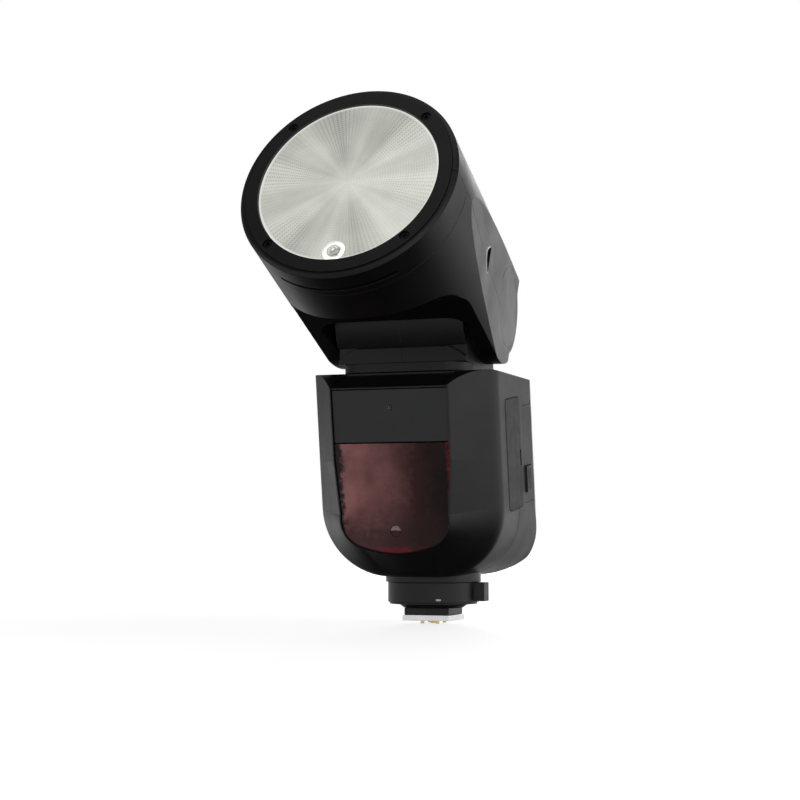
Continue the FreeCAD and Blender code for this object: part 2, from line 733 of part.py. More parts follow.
def battery_room(grow, x1):
    d0, d1, z0, z1 = BATTERY
    return body_place(block(-24 - grow, x1, d0 - grow, d1 + grow, z0 - grow, z1 + grow))


def battery_bay():
    """Thin sleeve that guides the battery."""
    outer = battery_room(1.1, 30.0).common(rear_solid(WALL + 0.1))
    windows = [body_place(block(-26, -24, d - 0.1, d + 3.1, 54.9, 66.1)) for d in CONTACT_DEPTHS]
    return cut(outer, windows + [battery_room(0.2, 60)])


def battery():
    pack = battery_room(0, 60).common(rear_solid())
    d0, d1, z0, z1 = LATCH
    pocket = body_place(block(31.5, 60, d0 - 0.2, d1 + 2.3, z0 - 0.2, z1 + 0.2))
    return pack.cut(pocket)


def battery_latch():
    d0, d1, z0, z1 = LATCH
    tab = block(31.6, 35.0, d0, d1, z0, z1)
    ribs = [block(34.6, 36, d, d + 0.5, z0 + 1, z1 - 1) for d in (d0 + 1.2, d0 + 2.6, d0 + 4.0)]
    return body_place(cut(tab, ribs))


def battery_contacts():
    return union_apart([body_place(block(-25.0, -24.25, d, d + 3, 55, 66)) for d in CONTACT_DEPTHS])


def port_cover():
    d0, d1, z0, z1 = PORT
    cover = prism_x(rounded_yz(d0, d1, z0, z1, 2.0), 33.0, HALF_W + 0.1)
    grip = block(HALF_W - 0.3, HALF_W + 1, d1 - 1.6, d1 + 1, 56, 62)
    return body_place(cover.cut(grip))


def port_sockets():
    """Small board with the cable sockets behind the port cover."""
    board = block(25.2, 26.4, -10.5, 0.5, 41.5, 70)
    sockets = []
    for z in (44, 58):
        shell = block(26.4, 32.6, -8.3, -2.7, z + 0.2, z + 8.8)
        sockets.append(shell.cut(block(28, 33, -7.3, -3.7, z + 1.2, z + 7.8)))
    return body_place(union([board] + sockets))


def main_board():
    return body_place(block(-22, 22, -9.5, -7.9, 34, 78))


def flash_capacitor():
    return body_place(rod(8.0, -14, -19.4, 31, 74))


def shell_screws():
    screws = []
    for x, z in shell_screw_places():
        head = rod_y(1.9, x, z, 4.4 + 1.6, 7.4)
        drive = rod_y(0.8, x, z, 6.6, 8)
        screws.append(body_place(rod_y(0.98, x, z, -9.5, 6.0).fuse(head).cut(drive)))
    return union_apart(screws)


# Controls on the back face, in the body's frame

def back_openings():
    half, z0, z1 = LCD
    tools = [block(-half - 0.1, half + 0.1, FACE - 1.3, 60, z0 - 0.1, z1 + 0.1),
             block(-half + 2, half - 2, 30, 60, z0 + 2, z1 - 2),
             rod_y(DIAL_R + GAP, 0, DIAL_Z, 30, 60)]
    tools += [key_shape(x, GAP, 30, 60) for x in key_places()]
    tools += [rod_y(2.9 + GAP, x, z, 30, 60) for x, z in round_button_places()]
    tools += [block(-21.5, -15.7, FACE - 0.9, 60, 26.0, 35.0), block(-19.8, -17.4, 30, 60, 27.0, 34.0)]
    return [body_place(t) for t in tools]


def key_places():
    return [-15.9, -5.3, 5.3, 15.9]


def key_shape(x, grow, d0, d1):
    return rod_like_key(x, 4.3 + grow, 1.9 + grow, d0, d1)


def rod_like_key(x, half, radius, d0, d1):
    z = BUTTON_Z
    inner = half - radius
    middle = block(x - inner, x + inner, d0, d1, z - radius, z + radius)
    return union([middle, rod_y(radius, x - inner, z, d0, d1), rod_y(radius, x + inner, z, d0, d1)])


def round_button_places():
    return [(18.6, 38.0), (18.6, 27.5), (-18.6, 40.5)]


def function_key(index):
    x = key_places()[index]
    key = key_shape(x, 0, BOARD_FACE + 0.7, FACE + 0.6)
    flange = block(x - 4.9, x + 4.9, BOARD_FACE + 0.7, BOARD_FACE + 1.2, BUTTON_Z - 2.4, BUTTON_Z + 2.4)
    return body_place(union([key, flange]))


def round_button(index):
    x, z = round_button_places()[index]
    return body_place(rod_y(2.9, x, z, BOARD_FACE + 0.7, FACE + 0.7))


def select_dial():
    ring = rod_y(DIAL_R, 0, DIAL_Z, BOARD_FACE + 0.2, FACE + 1.4).cut(rod_y(SET_R + GAP, 0, DIAL_Z, 30, 60))
    notches = []
    for step in range(36):
        a = math.radians(10 * step)
        notches.append(rod_y(0.45, (DIAL_R + 0.1) * math.cos(a), DIAL_Z + (DIAL_R + 0.1) * math.sin(a),
                             FACE + 0.3, 60))
    return body_place(cut(ring, notches))


def set_button():
    return body_place(rod_y(SET_R, 0, DIAL_Z, BOARD_FACE + 0.8, FACE + 1.0))


def power_switch():
    knob = block(-20.6, -16.6, FACE - 0.75, FACE + 0.9, 26.3, 30.3)
    stem = block(-19.5, -17.7, BOARD_FACE + 0.2, FACE - 0.75, 27.3, 29.3)
    return body_place(union([knob, stem]))


def lcd_window():
    half, z0, z1 = LCD
    return body_place(block(-half, half, FACE - 1.2, FACE, z0, z1))


def lcd_module():
    half, z0, z1 = LCD
    return body_place(block(-half + 2.2, half - 2.2, BOARD_FACE + 0.1, FACE - 1.3, z0 + 2.2, z1 - 2.2))


def control_board():
    plate = block(-21.0, 21.0, BOARD_FACE - 1.0, BOARD_FACE, 24, 80)
    return body_place(plate)


# Shoe

def shoe_block():
    """Collar under the body with the post that carries the lock ring."""
    shape = rod(17.5, 0, 0, 14.0, 18.4).fuse(rod(POST_R, 0, 0, 5.75, 14.0))
    return cut(shape, shoe_bores(1.05, 5, 20) + [rod(0.9, 0, -7.0, 5, 16)] + pin_bores(5, 9.5))


def shoe_bores(radius, z0, z1):
    return [rod(radius, x, y, z0, z1) for x, y in shoe_screw_places()]


def pin_places():
    return [(0, 0, 1.1)] + [(x, y, 0.7) for x in (-2.9, 2.9) for y in (-4.0, 4.0)]


def pin_bores(z0, z1):
    return [rod(r + RUN, x, y, z0, z1) for x, y, r in pin_places()]


def shoe_base():
    flange = revolve_z([(0, 4.5), (10.9, 4.5), (12.4, 5.65), (0, 5.65)], 0, 0)
    neck = block(-8.5, 8.5, -7.9, 7.9, FOOT_T, 4.5)
    insulator = block(-4.3, 4.3, -5.2, 5.2, 0, FOOT_T)
    bores = shoe_bores(1.05, 1, 7) + [rod(0.9, 0, -7.0, 1, 7)] + pin_bores(-1, 7)
    return cut(union([flange, neck, insulator]), bores)


def foot_plate():
    plan = rounded(FOOT_W / 2, -FOOT_L / 2, FOOT_L / 2, 1.0, 1.0)
    plate = prism_z(plan, 0, FOOT_T)
    wells = [rod(1.85, x, y, -1, 0.9) for x, y in shoe_screw_places()]
    insert = block(-4.4, 4.4, -5.3, 5.3, -1, 3)
    return cut(plate, wells + shoe_bores(1.05, -1, 3) + [insert, rod(0.85, 0, -7.0, -1, 3)])


def contact_pins():
    return union_apart([rod(r, x, y, -1.2, 7.5) for x, y, r in pin_places()])


def shoe_screws():
    screws = []
    for x, y in shoe_screw_places():
        screw = rod(0.98, x, y, 0.85, 20.5).fuse(rod(1.75, x, y, 0.1, 0.85))
        screws.append(screw.cut(block(x - 1.1, x + 1.1, y - 0.25, y + 0.25, 0, 0.5)))
    return union_apart(screws)


def lock_pin():
    return rod(0.8, 0, -7.0, 0.2, 12.0)


def lock_ring():
    """Turning ring with its lever on the right."""
    ring = tube(RING_R, POST_R + RUN, 0, 0, LOCK_RING_LOW_Z, LOCK_RING_TOP_Z)
    relief = tube(BIG, RING_R - 0.6, 0, 0, 0, 6.7)
    grooves = []
    for step in range(3):
        z = 8.6 + 1.9 * step
        grooves.append(tube(RING_R + 2, RING_R - 0.35, 0, 0, z, z + 0.5).cut(block(-60, 60, -60, -4, 0, 20)))
    lever = block(14, 20.4, -2.8, 2.8, 7.1, LOCK_RING_TOP_Z).cut(rod(12, 0, 0, 0, 20))
    return union([cut(ring, [relief] + grooves), lever])


def build():
    os.makedirs("parts", exist_ok=True)
    for name, shape in split_head().items():
        save(name, head_place(shape))
    head_parts = {
        "front_ring": front_ring, "ring_magnets": ring_magnets, "ring_screws": ring_screws,
        "fresnel_lens": fresnel_lens, "lamp_dome": lamp_dome, "modelling_lamp": modelling_lamp,
        "lamp_heat_sink": lamp_heat_sink, "reflector": reflector, "flash_tube": flash_tube,
        "zoom_carriage": zoom_carriage, "guide_rods": guide_rods, "zoom_motor": zoom_motor,
        "lead_screw": lead_screw,
    }
    for name, make in head_parts.items():
        save(name, head_place(make()))
    for side, word in ((-1, "left"), (1, "right")):
        save("tilt_shaft_" + word, head_place(tilt_shaft(side)))
        save("hub_cap_" + word, head_place(hub_cap(side)))
        half = block(0.05, 60, -90, 90, 0, 200) if side > 0 else block(-60, -0.05, -90, 90, 0, 200)
        save("yoke_" + word, yoke().common(half))
    for index in range(4):
        save("function_key_%d" % (index + 1), function_key(index))
    for index, word in enumerate(("mode_button", "lock_button", "test_button")):
        save(word, round_button(index))
    other_parts = {
        "swivel_plate": swivel_plate, "swivel_retainer": swivel_retainer,
        "front_shell": front_shell, "rear_shell": rear_shell, "front_panel": front_panel,
        "panel_indicator": panel_indicator, "sensor_window": sensor_window, "optical_sensor": optical_sensor,
        "assist_lamp": assist_lamp, "battery_bay": battery_bay, "battery": battery,
        "battery_latch": battery_latch, "battery_contacts": battery_contacts, "port_cover": port_cover,
        "port_sockets": port_sockets, "main_board": main_board, "flash_capacitor": flash_capacitor,
        "shell_screws": shell_screws, "select_dial": select_dial, "set_button": set_button,
        "power_switch": power_switch, "lcd_window": lcd_window, "lcd_module": lcd_module,
        "control_board": control_board, "shoe_block": shoe_block, "shoe_base": shoe_base,
        "foot_plate": foot_plate, "contact_pins": contact_pins,
        "shoe_screws": shoe_screws, "lock_pin": lock_pin, "lock_ring": lock_ring,
    }
    for name, make in other_parts.items():
        save(name, make())


build()
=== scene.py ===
import bmesh
import bpy
import json
import math
from mathutils import Matrix, Vector


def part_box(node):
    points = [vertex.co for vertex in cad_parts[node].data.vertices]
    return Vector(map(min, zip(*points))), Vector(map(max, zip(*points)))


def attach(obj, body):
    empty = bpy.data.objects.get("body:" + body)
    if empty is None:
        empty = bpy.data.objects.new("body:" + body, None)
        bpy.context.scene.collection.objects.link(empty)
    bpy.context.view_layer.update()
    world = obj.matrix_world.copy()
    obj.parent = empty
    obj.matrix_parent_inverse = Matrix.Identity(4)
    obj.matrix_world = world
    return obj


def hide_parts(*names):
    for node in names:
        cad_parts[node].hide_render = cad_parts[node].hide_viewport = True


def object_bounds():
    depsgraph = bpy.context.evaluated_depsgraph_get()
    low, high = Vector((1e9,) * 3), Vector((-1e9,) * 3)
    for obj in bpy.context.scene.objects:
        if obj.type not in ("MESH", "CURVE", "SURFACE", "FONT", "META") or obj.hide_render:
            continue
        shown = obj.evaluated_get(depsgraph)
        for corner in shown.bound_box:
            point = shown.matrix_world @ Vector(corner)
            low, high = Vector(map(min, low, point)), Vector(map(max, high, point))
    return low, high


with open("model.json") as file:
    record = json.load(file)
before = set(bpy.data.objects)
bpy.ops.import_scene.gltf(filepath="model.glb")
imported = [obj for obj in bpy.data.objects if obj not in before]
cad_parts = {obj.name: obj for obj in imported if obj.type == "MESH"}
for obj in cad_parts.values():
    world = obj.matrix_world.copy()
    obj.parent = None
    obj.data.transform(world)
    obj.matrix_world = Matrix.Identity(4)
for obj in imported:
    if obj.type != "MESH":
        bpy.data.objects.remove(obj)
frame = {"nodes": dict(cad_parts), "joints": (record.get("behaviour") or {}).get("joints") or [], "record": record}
cad_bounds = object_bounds()
nodes = frame["nodes"]
joints = {joint["name"]: joint for joint in frame["joints"]}

MM = 0.001
HEAD_TILT = math.radians(25.8)


# Frames of reference. The head's frame has its origin on the tilt axis and +Z towards the lens.

PIVOT = Vector(joints["head_tilt"]["pos_m"])
HEAD = Matrix.Translation(PIVOT) @ Matrix.Rotation(math.pi / 2 - HEAD_TILT, 4, "X")
BARREL_Y = -4.1 * MM             # the barrel's axis lies this far below the tilt axis
RIM_Z = 86.3 * MM
LAMP_OFFSET = 27.6 * MM          # from the barrel's axis down to the modelling lamp
LENS_R = 31.3 * MM
LENS_FACE = RIM_Z - 0.7 * MM
LENS_BACK = 81.7 * MM
LENS_PITCH = 0.9 * MM            # between two rings of the fresnel lens
LENS_DEPTH = 0.22 * MM
LENS_RAYS = 118
WELL_R = 3.85 * MM
LOCK_RING_R = 16.73 * MM
PLASTIC_EDGE_R = 0.35 * MM
METAL_EDGE_R = 0.15 * MM
RUBBER_EDGE_R = 0.3 * MM
FLOOR_HALF = 6.0


# Node material helpers

class Nodes:
    """Short ways to add and join shader nodes in one material."""

    def __init__(self, name):
        self.material = bpy.data.materials.new(name)
        self.material.use_nodes = True
        self.tree = self.material.node_tree
        self.tree.nodes.clear()
        self.output = self.add("ShaderNodeOutputMaterial")
        self.shader = self.add("ShaderNodeBsdfPrincipled")
        self.join(self.shader.outputs[0], self.output.inputs["Surface"])
        self.coords = self.add("ShaderNodeTexCoord").outputs["Object"]

    def add(self, kind, **values):
        node = self.tree.nodes.new(kind)
        for key, value in values.items():
            if hasattr(node, key):
                setattr(node, key, value)
            else:
                node.inputs[key.replace("_", " ")].default_value = value
        return node

    def join(self, source, target):
        self.tree.links.new(source, target)

    def set(self, **values):
        for key, value in values.items():
            self.shader.inputs[key.replace("_", " ")].default_value = value

    def noise(self, scale, detail=4.0, vector=None, roughness=0.55):
        node = self.add("ShaderNodeTexNoise", Scale=scale, Detail=detail, Roughness=roughness)
        self.join(vector or self.coords, node.inputs["Vector"])
        return node.outputs["Fac"]

    def ramp(self, value, stops):
        node = self.add("ShaderNodeValToRGB")
        elements = node.color_ramp.elements
        while len(elements) < len(stops):
            elements.new(0.5)
        for element, (position, colour) in zip(elements, stops):
            element.position = position
            element.color = (*colour, 1.0)
        self.join(value, node.inputs["Fac"])
        return node.outputs["Color"]

    def span(self, value, low, high, from_low=0.0, from_high=1.0):
        node = self.add("ShaderNodeMapRange")
        node.inputs["From Min"].default_value = from_low
        node.inputs["From Max"].default_value = from_high
        node.inputs["To Min"].default_value = low
        node.inputs["To Max"].default_value = high
        self.join(value, node.inputs["Value"])
        return node.outputs["Result"]

    def math(self, operation, a, b=None):
        node = self.add("ShaderNodeMath", operation=operation)
        for index, value in enumerate((a, b)):
            if value is None:
                continue
            if isinstance(value, (int, float)):
                node.inputs[index].default_value = value
            else:
                self.join(value, node.inputs[index])
        return node.outputs[0]

    def mix(self, factor, a, b):
        node = self.add("ShaderNodeMix", data_type="RGBA")
        self.join(factor, node.inputs["Factor"])
        for value, socket in ((a, node.inputs[6]), (b, node.inputs[7])):
            if isinstance(value, tuple):
                socket.default_value = (*value, 1.0)
            else:
                self.join(value, socket)
        return node.outputs[2]

    def axes(self, vector=None):
        """The three components of a vector, the object's own coordinates if none is given."""
        separate = self.add("ShaderNodeSeparateXYZ")
        self.join(vector or self.coords, separate.inputs[0])
        return separate.outputs

    def from_head(self, centre):
        """Distances to the right, up and radially from a point on the head's front."""
        mapping = self.add("ShaderNodeMapping", vector_type="TEXTURE")
        mapping.inputs["Location"].default_value = HEAD @ centre
        mapping.inputs["Rotation"].default_value = (math.pi / 2 - HEAD_TILT, 0, 0)
        self.join(self.coords, mapping.inputs["Vector"])
        x, y, _ = self.axes(mapping.outputs["Vector"])
        squares = self.math("ADD", self.math("MULTIPLY", x, x), self.math("MULTIPLY", y, y))
        return x, y, self.math("SQRT", squares)

    def soft_edges(self, radius):
        """Rounded normal at edges and a mask that is 1 on them."""
        bevel = self.add("ShaderNodeBevel", samples=6)
        bevel.inputs["Radius"].default_value = radius
        geometry = self.add("ShaderNodeNewGeometry")
        dot = self.add("ShaderNodeVectorMath", operation="DOT_PRODUCT")
        self.join(bevel.outputs["Normal"], dot.inputs[0])
        self.join(geometry.outputs["Normal"], dot.inputs[1])
        mask = self.span(dot.outputs["Value"], 1.0, 0.0, 0.80, 0.995)
        return bevel.outputs["Normal"], mask

    def bump(self, height, strength, distance, normal=None):
        node = self.add("ShaderNodeBump", Strength=strength, Distance=distance)
        self.join(height, node.inputs["Height"])
        if normal is not None:
            self.join(normal, node.inputs["Normal"])
        self.join(node.outputs["Normal"], self.shader.inputs["Normal"])


def plastic(name, dark, light, rough, grain_scale, grain_depth):
    """Moulded black plastic: spark-eroded grain, faint mottling, smoother paler edges."""
    m = Nodes(name)
    normal, edges = m.soft_edges(PLASTIC_EDGE_R)
    mottling = m.noise(70.0, 5.0)
    grain = m.noise(grain_scale, 3.0, roughness=0.7)
    colour = m.mix(m.span(mottling, 0.0, 1.0, 0.3, 0.7), dark, light)
    worn = tuple(min(1.0, channel * 2.2 + 0.012) for channel in light)
    wear_mask = m.math("MULTIPLY", edges, m.span(m.noise(260.0), 0.0, 0.35, 0.42, 0.62))
    m.join(m.mix(wear_mask, colour, worn), m.shader.inputs["Base Color"])
    roughness = m.math("SUBTRACT", m.span(mottling, rough - 0.05, rough + 0.05, 0.3, 0.7),
                       m.math("MULTIPLY", edges, 0.10))
    m.join(roughness, m.shader.inputs["Roughness"])
    m.bump(grain, 0.35, grain_depth, normal)
    m.set(Specular_IOR_Level=0.5)
    return m.material


def metal(name, colour, rough):
    """Metal with fine directional scratches."""
    m = Nodes(name)
    normal, _ = m.soft_edges(METAL_EDGE_R)
    mapping = m.add("ShaderNodeMapping")
    mapping.inputs["Scale"].default_value = (1.0, 1.0, 14.0)
    m.join(m.coords, mapping.inputs["Vector"])
    scratches = m.noise(900.0, 6.0, mapping.outputs["Vector"])
    smudge = m.noise(160.0, 3.0)
    m.join(m.mix(smudge, colour, tuple(0.86 * c for c in colour)), m.shader.inputs["Base Color"])
    m.join(m.span(scratches, rough * 0.7, rough * 1.4, 0.3, 0.7), m.shader.inputs["Roughness"])
    m.bump(scratches, 0.12, 0.02 * MM, normal)
    m.set(Metallic=1.0)
    return m.material


def clear(name, colour, rough, transmission=1.0):
    """Clear or tinted glass-like plastic with faint haze and fine scratches."""
    m = Nodes(name)
    haze_and_painted_light = m.noise(400.0, 5.0)
    m.join(m.span(haze_and_painted_light, rough, rough * 1.8 + 0.02, 0.4, 0.7), m.shader.inputs["Roughness"])
    m.join(m.mix(haze_and_painted_light, colour, tuple(0.94 * c for c in colour)), m.shader.inputs["Base Color"])
    m.bump(m.noise(2200.0, 2.0), 0.02, 0.01 * MM)
    m.set(Transmission_Weight=transmission, IOR=1.49, Coat_Weight=0.3)
    return m.material


def window_red():
    """Dark red acrylic under painted light: a painted reflection makes it paler and ragged on its left, painted
    shade makes it near black on the right, darker at its foot and dark at its very left edge, and a painted glow
    makes it vivid along its right and lower edges.
    """
    m = Nodes("window_red")
    low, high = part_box("sensor_window")
    x, _, z = m.axes()
    across = m.span(x, 0.0, 1.0, low.x, high.x)
    along = m.span(z, 0.0, 1.0, low.z, high.z)
    ragged = m.span(m.noise(420.0, 2.0), -0.045, 0.045, 0.35, 0.65)
    # Painted light across the window: painted shade at the very left edge, a pale painted reflection on the left,
    # painted shade darkening to near black on the right.
    haze_and_painted_light = m.ramp(m.math("ADD", across, m.math("MULTIPLY", ragged, 0.6)),
                  [(0.03, (0.030, 0.026, 0.026)), (0.08, (0.56, 0.235, 0.23)),
                   (0.42, (0.34, 0.145, 0.142)), (0.70, (0.060, 0.019, 0.018)),
                   (0.86, (0.014, 0.005, 0.005)), (1.0, (0.012, 0.002, 0.003))])
    mottled = m.mix(m.span(m.noise(90.0, 3.0), 0.0, 0.5, 0.35, 0.7), haze_and_painted_light, (0.060, 0.020, 0.021))
    # Painted shade darkening the window towards its foot.
    foot_shade = m.span(m.math("ADD", along, ragged), 0.75, 0.0, 0.16, 0.42)
    shaded = m.mix(foot_shade, mottled, (0.045, 0.020, 0.020))
    # Painted glow along the right and lower edges, patchy.
    distance = m.math("ABSOLUTE", m.math("SUBTRACT", across, 0.5))
    side_rim = m.span(distance, 0.0, 1.0, 0.462, 0.49)
    foot_rim = m.span(along, 1.0, 0.0, 0.0, 0.07)
    right_only = m.span(across, 0.0, 1.0, 0.5, 0.9)
    painted_rim_light = m.math("MAXIMUM", m.math("MULTIPLY", side_rim, right_only), m.math("MULTIPLY", foot_rim, 0.6))
    patchy = m.math("MULTIPLY", painted_rim_light, m.span(m.noise(330.0, 3.0), 0.1, 1.0, 0.42, 0.56))
    m.join(m.mix(patchy, shaded, (0.52, 0.008, 0.05)), m.shader.inputs["Base Color"])
    m.join(m.span(m.noise(500.0, 4.0), 0.12, 0.22, 0.3, 0.7), m.shader.inputs["Roughness"])
    m.bump(m.noise(1400.0, 2.0), 0.03, 0.02 * MM)
    m.set(Specular_IOR_Level=0.14)
    return m.material


def lens_painted_glow():
    """Fresnel lens glowing with painted light in place of light from its white reflector: painted bright rings,
    soft sectors of painted reflection, a painted bright outer ring, tiny prisms, brighter at the middle, lighter
    to the right and darker at the top.
    """
    m = Nodes("lens_painted_glow")
    x, y, radius = m.from_head(Vector((0, BARREL_Y, RIM_Z)))
    angle = m.math("ARCTAN2", y, x)

    def wave(times, phase, weight):
        turned_angle = m.math("ADD", m.math("MULTIPLY", angle, times), phase)
        return m.math("MULTIPLY", m.math("COSINE", turned_angle), weight)

    away = m.span(radius, 0.0, 1.0, 0.0, 14 * MM)
    # Painted reflection in soft sectors round the middle.
    painted_reflection_sectors = m.math("ADD", m.math("ADD", wave(2.0, 0.1, 0.055), wave(8.0, 0.7, 0.045)), wave(22.0, 0.0, 0.018))
    rings = m.math("SINE", m.math("MULTIPLY", radius, 2 * math.pi / LENS_PITCH))
    rays = m.math("SINE", m.math("MULTIPLY", angle, LENS_RAYS))
    dots = m.math("MULTIPLY", m.span(rings, 0.0, 1.0, 0.1, 0.9), m.span(rays, 0.0, 1.0, 0.1, 0.9))
    lobes = m.span(wave(6.0, 1.2, 1.0), 0.25, 1.0, -0.4, 0.6)
    dots = m.math("MULTIPLY", m.math("MULTIPLY", dots, lobes), m.span(radius, 0.0, -0.30, 4 * MM, 9 * MM))
    # Painted light falling more on the right and less at the top.
    across = m.math("MULTIPLY", x, 0.055 / (31 * MM))
    painted_light_slope = m.math("ADD", across, m.math("MULTIPLY", y, -0.030 / (31 * MM)))
    shade = m.math("ADD", m.math("MULTIPLY", painted_reflection_sectors, away), painted_light_slope)
    shade = m.math("ADD", shade, m.math("MULTIPLY", rings, 0.022))
    shade = m.math("ADD", shade, m.span(m.noise(60.0, 3.0), -0.05, 0.05, 0.3, 0.7))
    # Painted light, brighter at the middle.
    shade = m.math("ADD", shade, m.span(radius, 0.05, 0.0, 2 * MM, 9 * MM))
    shade = m.math("ADD", m.math("ADD", shade, dots), 0.5)
    colour = m.ramp(shade, [(0.12, (0.16, 0.165, 0.145)), (0.42, (0.40, 0.405, 0.365)),
                            (0.60, (0.60, 0.615, 0.555)), (0.80, (0.80, 0.82, 0.76))])
    # Painted bright ring at the lens's outer edge.
    painted_rim_light = m.span(radius, 0.0, 1.0, 30.3 * MM, 31.1 * MM)
    lit = m.mix(painted_rim_light, colour, (0.80, 0.82, 0.77))
    m.join(m.mix(m.span(m.noise(700.0), 0.0, 1.0), (0.20, 0.20, 0.19), (0.26, 0.26, 0.25)),
           m.shader.inputs["Base Color"])
    m.join(lit, m.shader.inputs["Emission Color"])
    m.bump(m.math("ADD", m.math("MULTIPLY", rays, 0.3), rings), 0.3, 0.03 * MM)
    m.join(m.span(m.noise(900.0), 0.2, 0.3), m.shader.inputs["Roughness"])
    # The lens glows with painted light though it is no lamp.
    m.set(Emission_Strength=0.92, Specular_IOR_Level=0.4)
    return m.material


def dome_clear():
    """Clear moulded dome over the lamp, glowing with painted light: a painted bright outer ring, a painted darker
    waist and painted glints near the middle.
    """
    m = Nodes("dome_clear")
    _, _, radius = m.from_head(Vector((0, BARREL_Y - LAMP_OFFSET, RIM_Z)))
    uneven = m.span(m.noise(520.0, 2.0), -0.09, 0.09, 0.3, 0.7)
    # Painted glints and rings of painted light by distance from the dome's middle, with a little noise.
    painted_glint_rings = m.math("ADD", m.span(radius, 0.0, 1.0, 0.0, 3.8 * MM), uneven)
    lit = m.ramp(painted_glint_rings, [(0.05, (0.85, 0.86, 0.83)), (0.22, (0.20, 0.20, 0.19)), (0.42, (0.34, 0.34, 0.32)),
                         (0.55, (0.10, 0.10, 0.10)), (0.68, (0.80, 0.82, 0.77)), (0.98, (0.92, 0.94, 0.88))])
    m.join(lit, m.shader.inputs["Base Color"])
    m.join(lit, m.shader.inputs["Emission Color"])
    m.join(m.span(m.noise(400.0), 0.03, 0.08), m.shader.inputs["Roughness"])
    # The dome glows with painted light though it is no lamp.
    m.set(Emission_Strength=0.75, Transmission_Weight=0.5, Coat_Weight=0.5)
    return m.material


def sensor_dark():
    """Round optical sensor: a painted reflection makes its upper half pale; dark red below."""
    m = Nodes("sensor_dark")
    low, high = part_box("optical_sensor")
    _, _, z = m.axes()
    middle = (low.z + high.z) / 2 + 0.3 * MM
    wavy = m.math("ADD", z, m.span(m.noise(900.0), -0.2 * MM, 0.2 * MM))
    # Painted reflection making the upper half pale.
    upper = m.span(wavy, 0.0, 1.0, middle - 0.1 * MM, middle + 0.1 * MM)
    lower_tint = m.ramp(m.noise(1200.0, 3.0), [(0.4, (0.030, 0.001, 0.004)), (0.7, (0.16, 0.003, 0.02))])
    m.join(m.mix(upper, lower_tint, (0.42, 0.33, 0.32)), m.shader.inputs["Base Color"])
    m.join(m.span(m.noise(700.0), 0.08, 0.16), m.shader.inputs["Roughness"])
    m.bump(m.noise(1500.0, 2.0), 0.05, 0.02 * MM)
    m.set(Specular_IOR_Level=0.3)
    return m.material


def display():
    """Unlit liquid crystal face with its faint grid of segments."""
    m = Nodes("display_face")
    cells = m.add("ShaderNodeTexVoronoi", Scale=900.0)
    m.join(m.coords, cells.inputs["Vector"])
    m.join(m.ramp(cells.outputs["Distance"], [(0.0, (0.20, 0.24, 0.20)), (1.0, (0.30, 0.35, 0.29))]),
           m.shader.inputs["Base Color"])
    m.join(m.span(m.noise(500.0), 0.25, 0.4), m.shader.inputs["Roughness"])
    m.bump(cells.outputs["Distance"], 0.05, 0.02 * MM)
    return m.material


def circuit_board():
    """Green solder mask over a grid of traces."""
    m = Nodes("board_green")
    traces = m.add("ShaderNodeTexBrick", Scale=420.0)
    m.join(m.coords, traces.inputs["Vector"])
    m.join(m.mix(m.span(traces.outputs["Fac"], 0.0, 0.6), (0.012, 0.09, 0.04), (0.03, 0.18, 0.08)),
           m.shader.inputs["Base Color"])
    m.join(m.span(m.noise(300.0), 0.3, 0.45), m.shader.inputs["Roughness"])
    m.bump(traces.outputs["Fac"], 0.2, 0.03 * MM)
    return m.material


def rubber():
    """Matte black rubber with a little dust on it."""
    m = Nodes("rubber_black")
    normal, _ = m.soft_edges(RUBBER_EDGE_R)
    dust = m.noise(240.0, 5.0)
    m.join(m.ramp(dust, [(0.35, (0.014, 0.014, 0.0145)), (0.75, (0.022, 0.022, 0.0225))]),
           m.shader.inputs["Base Color"])
    m.join(m.span(dust, 0.46, 0.60, 0.3, 0.7), m.shader.inputs["Roughness"])
    m.bump(m.noise(1600.0, 3.0), 0.3, 0.03 * MM, normal)
    return m.material


